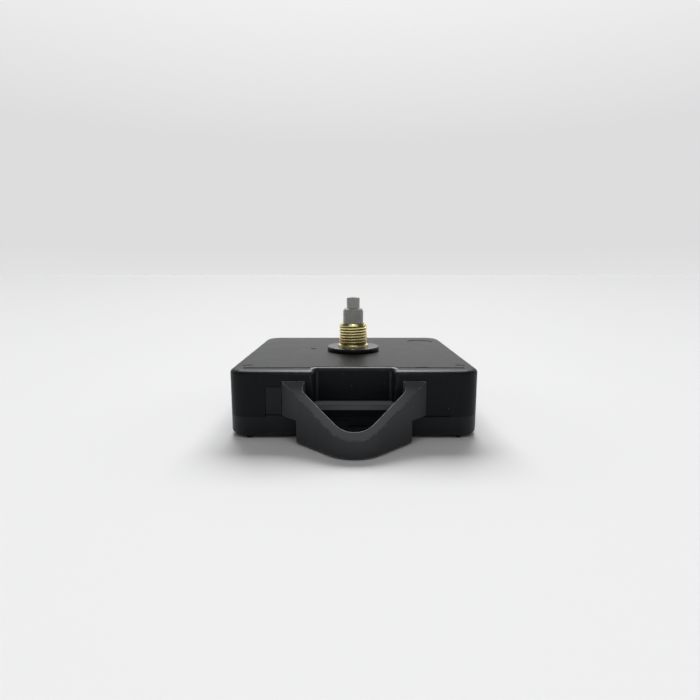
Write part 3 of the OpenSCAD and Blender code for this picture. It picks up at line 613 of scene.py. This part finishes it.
# %% Front case
dial_face, back = -1.2, -16.7
half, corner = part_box("front_case")[1].x / mm, 4.5
rim_r, mouth_r, lip_r = 1.2, 1.0, 0.3
recess_half, recess_back, ledge_top = 9.15, 3.5 - half, -9.2
hair, shortest_eased = 0.07, 0.25


def outline_reach(vert):
    """How far out from the corner arcs' centres a point is: the corner radius on the wall."""
    x, y = abs(vert.co.x) / mm, abs(vert.co.y) / mm
    if min(x, y) > half - corner:
        return math.hypot(x - half + corner, y - half + corner)
    return max(x, y) - half + corner


def on_outline(vert):
    """True on the case's outer wall, its round corners included."""
    return outline_reach(vert) > corner - close


def in_recess(vert, margin=close):
    return (abs(vert.co.x) / mm < recess_half + margin
            and -half - close < vert.co.y / mm < recess_back + margin)


def ease_thin_edges(shape, test):
    """Takes the knife edge off slots and windows in the outer wall."""
    thin = [e for e in outer_edges(shape, 50, lambda v: on_outline(v) and test(v))
            if e.calc_length() > shortest_eased * mm]
    print("thin edges eased:", round_edges(shape, thin, hair, 2))


case = welded_copy("front_case")
mouth = [e for e in outer_edges(case, 30, lambda v: in_recess(v) and height(v) > ledge_top - close)
         if not all(at_level(v, ledge_top) for v in e.verts)]
print("recess edges rounded:", round_edges(case, mouth, mouth_r, 6, safe=False))
lip = outer_edges(case, 30, lambda v: at_level(v, ledge_top) and in_recess(v, mouth_r + 0.1))
print("ledge edges rounded:", round_edges(case, lip, lip_r, 4, safe=False))

# %% The dial panel's step
panel_in, step, fall, groove = 3.2, 0.1, 0.15, 0.06
wall_fade, lowest_pressed = 0.6, dial_face - 3


def dial_faces():
    return [f for f in case.faces
            if f.normal.z > 0.9999 and abs(middle(f).z - dial_face) < close]


for along in (Vector((1, 0, 0)), Vector((0, 1, 0))):
    for side in (-1, 1):
        cut_faces(case, dial_faces(), along * side * (half - panel_in), along)
case.normal_update()
panel = [f for f in dial_faces() if max(abs(c) for c in middle(f).xy) < half - panel_in]
bmesh.ops.inset_region(case, faces=panel, thickness=groove * mm, use_even_offset=True)
raised = {v for f in panel for v in f.verts}


def press_down(vert):
    """How far a point outside the panel sinks: most on the shoulder, nothing on the wall."""
    inward = max(corner - outline_reach(vert), 0)
    rounding = rim_r - math.sqrt(rim_r ** 2 - max(rim_r - inward, 0) ** 2)
    below = dial_face - height(vert) - rounding
    if inward > rim_r:
        sink = step + fall * min(max((panel_in - inward) / (panel_in - rim_r), 0), 1)
    else:
        sink = (step + fall) * min(inward / wall_fade, 1)
    return sink * max(1 - below / mouth_r, 0)


outside = [v for v in case.verts if v not in raised and height(v) > lowest_pressed
           and (corner - outline_reach(v) < panel_in + close or in_recess(v, mouth_r + close))]
for vert in outside:
    vert.co.z -= press_down(vert) * mm
case.normal_update()
print("panel faces:", len(panel), "points pressed down:", len(outside))

# %% The ledge and the thin edges
# The third number is the mark of the ledge's painted light.
bar, bar_frame, bar_light_mark = 1.2, 0.05, 120


def front_faces():
    return [f for f in case.faces if f.normal.y < -0.999 and middle(f).y < -half + close]


ledge = [f for f in case.faces if f.normal.z > 0.99 and all(in_recess(v) for v in f.verts)
         and abs(middle(f).z - ledge_top) < close]
for point, normal in (((-recess_half, 0, 0), (1, 0, 0)), ((recess_half, 0, 0), (1, 0, 0)),
                      ((0, 0, ledge_top - bar), (0, 0, 1))):
    cut_faces(case, front_faces(), point, normal)
case.normal_update()
ledge_front = [f for f in front_faces() if f.calc_area() > mm ** 2
               and all(in_recess(v, 2 * close) for v in f.verts)
               and ledge_top - bar < middle(f).z < ledge_top]
print("ledge faces:", len(ledge), "above and", len(ledge_front), "in front")
mark = edge_marks(case)
# The ledge's top and front get the very high mark that paints them as lit.
for faces in (ledge, ledge_front):
    bmesh.ops.inset_region(case, faces=faces, thickness=bar_frame * mm)
    for vert in {v for f in faces for v in f.verts}:
        vert[mark] = bar_light_mark
ease_thin_edges(case, lambda v: height(v) < dial_face - rim_r - 0.1)
finish_piece("case_shell", case, black_case, "case", ["front_case"])

# %% [markdown]
# ## The back cover
#
# The cover is a second moulding, snapped on with tongues that show in the case's windows.
# Its lower rim has nearly the same round as the dial side. The round can't be wider, because
# the corners of the battery bay come close to it. The bay and the knob's well open through
# the back, and their edges are only eased.
#
# Four small feet reach into the rim's rounding. A rounding that runs into a foot would
# tangle the mesh, so the feet are cut off first, and new ones take their places at the end.

# %% Back cover
low_rim_r, opening_r = 1.0, 0.1
foot_y, foot_r, foot_root, foot_end = half - 1.1, 0.6, back + 1.1, cad_box[0].z / mm
feet = [(-24.1, -foot_y), (24.1, -foot_y), (-22, foot_y), (22, foot_y)]

cover = welded_copy("back_cover", lowest=back)
low_rim = outer_edges(cover, 30, lambda v: at_level(v, back) and on_outline(v))
print("low rim edges rounded:", round_edges(cover, low_rim, low_rim_r, 6, safe=False))
openings = outer_edges(cover, 50, lambda v: at_level(v, back) and not on_outline(v))
print("opening edges eased:", round_edges(cover, openings, opening_r, 2, safe=False))
ease_thin_edges(cover, lambda v: height(v) > back + 1)
for x, y in feet:
    bmesh.ops.create_cone(
        cover, cap_ends=True, segments=36, radius1=foot_r * mm, radius2=foot_r * mm,
        depth=(foot_root - foot_end) * mm,
        matrix=Matrix.Translation(Vector((x, y, (foot_root + foot_end) / 2)) * mm),
    )
cover.normal_update()
finish_piece("cover_shell", cover, black_cover_painted_lighter, "case", ["back_cover"])

# %% [markdown]
# ## The hanging loop
#
# The loop is a V shaped ribbon, moulded apart from the case and slid in from the back. Its
# outline is in the imported part already. It gets a quarter millimetre of rounding on every
# outer corner. The middles of these roundings are painted pale as a painted highlight, so the
# mark is weakened on every point that looks to the front or down, away from the light.

# %% Hanging loop
loop_r, away_from_light_share = 0.25, 0.1
loop = welded_copy("hanger")
outside = outer_edges(loop, 30, lambda v: v.co.y / mm < -half + close)
print("loop edges rounded:", round_edges(loop, outside, loop_r, 3, safe=False))
mark = edge_marks(loop)
# Painted highlight: it stays strong only on edges that face up or back, towards the light.
for vert in loop.verts:
    if vert.normal.y < -0.35 or vert.normal.z < 0.3:
        vert[mark] *= away_from_light_share
finish_piece("hanging_loop", loop, black_loop, "case", ["hanger"])

# %% [markdown]
# ## The rubber washer
#
# A washer could be a cylinder with a hole. Turning its section round the shaft is as short,
# and lets the section carry what a real one has: soft corners all round.

# %% Washer
def turned(points, steps):
    """A closed section, as (radius, height) points in mm, turned round the shaft."""
    shape = bmesh.new()
    verts = [shape.verts.new((r * mm, 0, z * mm)) for r, z in points]
    edges = [shape.edges.new((a, b)) for a, b in zip(verts, verts[1:] + verts[:1])]
    bmesh.ops.spin(shape, geom=verts + edges, cent=(0, 0, 0), axis=(0, 0, 1),
                   angle=2 * math.pi, steps=steps, use_merge=True)
    bmesh.ops.remove_doubles(shape, verts=shape.verts, dist=0.0005 * mm)
    bmesh.ops.recalc_face_normals(shape, faces=shape.faces)
    return shape


def rounded_section(inner, outer, low, high, radius, steps=4):
    """A rectangle with round corners, for turning."""
    points = []
    for cx, cz, start in ((outer - radius, high - radius, 0), (inner + radius, high - radius, 90),
                          (inner + radius, low + radius, 180), (outer - radius, low + radius, 270)):
        for i in range(steps + 1):
            a = math.radians(start + 90 * i / steps)
            points.append((cx + radius * math.cos(a), cz + radius * math.sin(a)))
    return points


washer_bore, washer_r, washer_round = 4.25, 7.25, 0.22
section = rounded_section(washer_bore, washer_r, dial_face, 0, washer_round)
washer = turned(section, 96)
finish_piece("dial_washer", washer, black_rubber, "case", ["rubber_washer"])

# %% [markdown]
# ## The threaded brass bush
#
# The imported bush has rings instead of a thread, because a helix is hard on exact solids. A
# real thread is one groove that climbs 0.75 mm a turn, and the eye notices the difference
# on the outline. The spin operator can climb as it turns: one tooth's profile, spun with a
# small step up each time, makes the whole helix. Two planes then cut its ends square, and
# bridges join them to the collar below and to the chamfer above.

# %% Threaded bush
pitch, crest_r, root_r, bore_r = 0.75, 3.9, 3.56, 3.05
thread_low, thread_high, bush_top = 1.12, 5.88, 6.5
collar_r, collar_top = 4.2, 0.7
flange_r, flange_low, flange_top, flange_round = 5.2, -3.2, -2.5, 0.1


def threaded(turns, steps):
    """One tooth's profile, spun up the shaft: an open strip that climbs a pitch a turn."""
    shape = bmesh.new()
    tooth = [(crest_r, 0), (crest_r, 0.17), (root_r + 0.04, 0.33), (root_r, 0.37),
             (root_r, 0.42), (root_r + 0.04, 0.46), (crest_r, 0.62), (crest_r, pitch)]
    low = thread_low - 1.3 * pitch
    verts = [shape.verts.new((r * mm, 0, (low + z) * mm)) for r, z in tooth]
    edges = [shape.edges.new(pair) for pair in zip(verts, verts[1:])]
    bmesh.ops.spin(shape, geom=verts + edges, cent=(0, 0, 0), axis=(0, 0, 1),
                   dvec=(0, 0, pitch * mm / steps), angle=2 * math.pi * turns,
                   steps=turns * steps, use_merge=False)
    bmesh.ops.remove_doubles(shape, verts=shape.verts, dist=0.001 * mm)
    for height, above in ((thread_low, False), (thread_high, True)):
        bmesh.ops.bisect_plane(
            shape, geom=shape.verts[:] + shape.edges[:] + shape.faces[:], dist=1e-9,
            plane_co=(0, 0, height * mm), plane_no=(0, 0, 1),
            clear_outer=above, clear_inner=not above)
    return shape


def open_edges_at(shape, z):
    return [e for e in shape.edges if e.is_boundary and all(at_level(v, z) for v in e.verts)]


bush_steps = 72
bush = threaded(9, bush_steps)
print("thread faces:", len(bush.faces), "open edges:", sum(e.is_boundary for e in bush.edges))

# %% The bush below and above its thread
chamfer_low = (3.42, bush_top - 0.04)
neck_top = (root_r, thread_low - 0.12)
section = [
    chamfer_low, (3.38, bush_top), (bore_r + 0.14, bush_top), (bore_r, bush_top - 0.14),
    (bore_r, flange_low), (flange_r - flange_round, flange_low),
    (flange_r, flange_low + flange_round), (flange_r, flange_top - flange_round),
    (flange_r - flange_round, flange_top), (collar_r, flange_top), (collar_r, collar_top - 0.3),
    (collar_r - 0.08, collar_top - 0.16), (collar_r - 0.2, collar_top - 0.07),
    (collar_r - 0.36, collar_top - 0.01), (root_r + 0.08, collar_top),
    (root_r, collar_top + 0.08), neck_top]
verts = [bush.verts.new((r * mm, 0, z * mm)) for r, z in section]
edges = [bush.edges.new(pair) for pair in zip(verts, verts[1:])]
bmesh.ops.spin(bush, geom=verts + edges, cent=(0, 0, 0), axis=(0, 0, 1),
               angle=2 * math.pi, steps=bush_steps, use_merge=True)
for low, high in ((thread_high, chamfer_low[1]), (neck_top[1], thread_low)):
    bmesh.ops.bridge_loops(bush, edges=open_edges_at(bush, low) + open_edges_at(bush, high))
bmesh.ops.recalc_face_normals(bush, faces=bush.faces)
print("open edges left:", sum(e.is_boundary for e in bush.edges))
finish_piece("brass_bush", bush, turned_brass, "case", ["threaded_bush"], sharp=28)

# %% [markdown]
# ## The hour tube and the minute shaft
#
# Both are moulded in grey plastic, and both end in a soft, rounded top, because a sharp
# edge would catch the hands as they are pressed on. The hour tube is one piece with its
# wheel inside the case, so its copy keeps the teeth, and only its chamfer is drawn out
# further and rounded. The minute shaft has two flats, and its end is rounded all round.

# %% Hour tube and minute shaft
tube_r, tube_top, tube_round = 2.8, 10.6, 0.4
chamfer_foot, chamfer_r = 10.2, 2.4
drawn_foot, drawn_r = 9.85, 2.25
shaft_tip, shaft_round = cad_box[1].z / mm, 0.45


def reach(vert):
    return math.hypot(vert.co.x, vert.co.y) / mm


def on_ring(vert, radius, z):
    return abs(reach(vert) - radius) < 0.1 and at_level(vert, z)


hour = welded_copy("hour_wheel")
for vert in hour.verts:
    if on_ring(vert, tube_r, chamfer_foot):
        vert.co.z = drawn_foot * mm
    elif on_ring(vert, chamfer_r, tube_top):
        vert.co.xy *= drawn_r / reach(vert)
hour.normal_update()
top = outer_edges(hour, 25, lambda v: reach(v) > drawn_r - 0.05 and height(v) > drawn_foot - 0.05)
print("hour tube edges rounded:", round_edges(hour, top, tube_round, 5, safe=False))
finish_piece("hour_tube", hour, hour_plastic, "hour", ["hour_wheel"])

minute = welded_copy("minute_arbor")
top = outer_edges(minute, 40, lambda v: height(v) > shaft_tip - 0.1 and reach(v) > 1.2)
print("minute shaft edges rounded:", round_edges(minute, top, shaft_round, 5, safe=False))
finish_piece("minute_shaft", minute, minute_plastic_painted_lighter, "minute",
             ["minute_arbor"])

# %% [markdown]
# ## The setting knob
#
# The knob on the back is turned with a finger to set the hands. Its ribs are in the packed
# part, and the copy only loses its knife edges.

# %% Setting knob
knob_round = 0.12
knob = welded_copy("setting_knob")
ribs = outer_edges(knob, 35, lambda v: height(v) < back + 0.3)
print("knob edges eased:", round_edges(knob, ribs, knob_round, 2))
finish_piece("setting_wheel", knob, knob_plastic, "setting", ["setting_knob"])

# %% [markdown]
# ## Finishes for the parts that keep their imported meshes
#
# Everything inside is already the right shape. A CAD part takes a finish through its own
# material slots, so nothing about its mesh changes.

# %% Finishes by part
finish_of = {
    "seconds_arbor": ground_steel, "second_wheel": wheel_plastic, "third_wheel": wheel_plastic,
    "centre_wheel": wheel_plastic, "clutch_spring": plated_steel, "motion_wheel": wheel_plastic,
    "intermediate_wheel": wheel_plastic, "rotor_pinion": wheel_plastic,
    "rotor_magnet": magnet, "stator": stamped_iron, "coil_core": stamped_iron,
    "coil_bobbin": bobbin_plastic, "coil_winding": wire, "coil_leads": wire,
    "circuit_board": board_green, "chip_blob": resin, "quartz_crystal": crystal_can,
    "positive_contact": plated_steel, "negative_contact": plated_steel,
    "middle_plate": wheel_plastic, "setting_pinion": knob_plastic,
}
for name, finish in finish_of.items():
    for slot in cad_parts[name].material_slots:
        slot.material = finish
missing = sorted(n for n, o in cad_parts.items()
                 if n not in finish_of and not o.hide_render)
print("finished packed parts:", len(finish_of), "without a finish:", missing)

# %% [markdown]
# ## The table
#
# The object stands on a plain pale sheet that fades into the backdrop far behind it. A
# curved sweep behind the object would also give a soft horizon, but it would stand in the
# way of lights that shine from behind. A flat sheet whose colour is painted a little darker
# with distance, as a painted falloff of light, meets the backdrop just as softly, and is open
# on every side.

# %% Table
floor_z, half_sheet, fade_distance = cad_box[0].z, 40, 0.6
# The far colour is the sheet's painted shade far from the object.
paper_near, paper_far_painted_shade = (0.88, 0.881, 0.883), (0.725, 0.727, 0.73)
sheet = bmesh.new()
bmesh.ops.create_grid(sheet, x_segments=1, y_segments=1, size=half_sheet,
                      matrix=Matrix.Translation((0, 0, floor_z)))
table_mesh = bpy.data.meshes.new("table_sheet")
sheet.to_mesh(table_mesh)
sheet.free()
table = bpy.data.objects.new("table_sheet", table_mesh)
bpy.context.scene.collection.objects.link(table)

paper, tree, shader = new_finish("White table sheet")
here = add(tree, "TexCoord").outputs["Object"]
away = add(tree, "VectorMath", {0: here}, operation="LENGTH").outputs["Value"]
# Painted falloff of light: the sheet turns darker with distance from the object.
steps_away = maths(tree, "DIVIDE", away, fade_distance)
painted_falloff = maths(tree, "DIVIDE", 1, maths(tree, "ADD", steps_away, 1))
feed(tree, shader, {
    "Base Color": blend_colours(tree, painted_falloff, paper_far_painted_shade, paper_near), "Roughness": 0.5,
    "Specular IOR Level": 0.01})
table_mesh.materials.append(paper)
print("table at z =", round(floor_z / mm, 2), "mm")

# %% [markdown]
# ## The light
#
# The dark front and the short soft shadow before the box say where the light stands:
# behind it, and high up. The shadow begins where a ray of 58 degrees passes the rim and has
# faded out at 30 degrees, so one large panel fills that stretch of the sky. A second one
# hangs overhead: it draws the line of light on the ledge in the recess, which nothing from
# behind can reach. A third, very weak one leans over to the front, so that the walls and the
# washer's rim aren't quite black. All three stand so far away that the table is lit evenly.
# They are left out of the camera's sight, but the plastic and the brass still mirror them.

# %% Lights
lamp_distance = 300


def softbox(name, low, high, half_turn, radiance):
    """A panel aimed at the object, between two angles up from the horizon behind it."""
    middle, tall = math.radians((low + high) / 2), math.radians((high - low) / 2)
    wide = math.radians(half_turn) * abs(math.cos(middle))
    lamp = bpy.data.lights.new(name, "AREA")
    lamp.shape = "RECTANGLE"
    lamp.size, lamp.size_y = [2 * lamp_distance * math.tan(a) for a in (wide, tall)]
    lamp.energy = radiance * 4 * lamp.size * lamp.size_y
    box = bpy.data.objects.new(name, lamp)
    box.location = (0, lamp_distance * math.cos(middle), lamp_distance * math.sin(middle))
    box.rotation_euler = (middle - math.pi / 2, 0, 0)
    box.visible_camera = False
    bpy.context.scene.collection.objects.link(box)
    return box


softbox("Back panel", low=30, high=58, half_turn=27, radiance=7.7)
softbox("Overhead panel", low=78, high=100, half_turn=60, radiance=14)
softbox("Front panel", low=98, high=130, half_turn=60, radiance=0.6)

# %% [markdown]
# ## The room
#
# The backdrop is the world itself, a pale sheet that is darkest a little above the table's
# far end and brightens upward. The dial side mirrors it at a low angle, which turns black
# plastic a mid grey. In front of the object the room is dim, and above it nearly dark.

# %% World
horizon_tone, low_tone, high_tone, front_tone, dark_tone = 0.76, 0.723, 0.87, 0.22, 0.05
world = bpy.data.worlds.new("Room")
world.use_nodes = True
tree = world.node_tree
look = add(tree, "SeparateXYZ", {"Vector": add(tree, "TexCoord").outputs["Generated"]})
forth, up = look.outputs["Y"], look.outputs["Z"]
backdrop = maths(tree, "ADD", stretch(tree, up, 0, 0.05, horizon_tone, low_tone),
                 stretch(tree, up, 0.25, 0.46, 0, high_tone - low_tone))
behind = maths(tree, "MULTIPLY", stretch(tree, forth, -0.1, 0.3, 0, 1),
               stretch(tree, up, 0.46, 0.56, 1, 0))
lit = maths(tree, "MULTIPLY", behind, backdrop)
front = maths(tree, "MULTIPLY", stretch(tree, forth, -0.3, 0, front_tone, 0),
              stretch(tree, up, 0.4, 0.6, 1, 0))
sky = maths(tree, "MAXIMUM", lit, maths(tree, "MAXIMUM", front, dark_tone))
tree.links.new(sky, tree.nodes["Background"].inputs["Color"])
bpy.context.scene.world = world
bpy.context.scene.view_settings.view_transform = "Standard"
print("world nodes:", len(tree.nodes))

# %% [markdown]
# ## Sizes
#
# The imported part's box is printed in mm. The dressed part may not outgrow the imported
# one.

# %% Sizes
print("cad box mm:", [[round(x / mm, 2) for x in c] for c in cad_box])
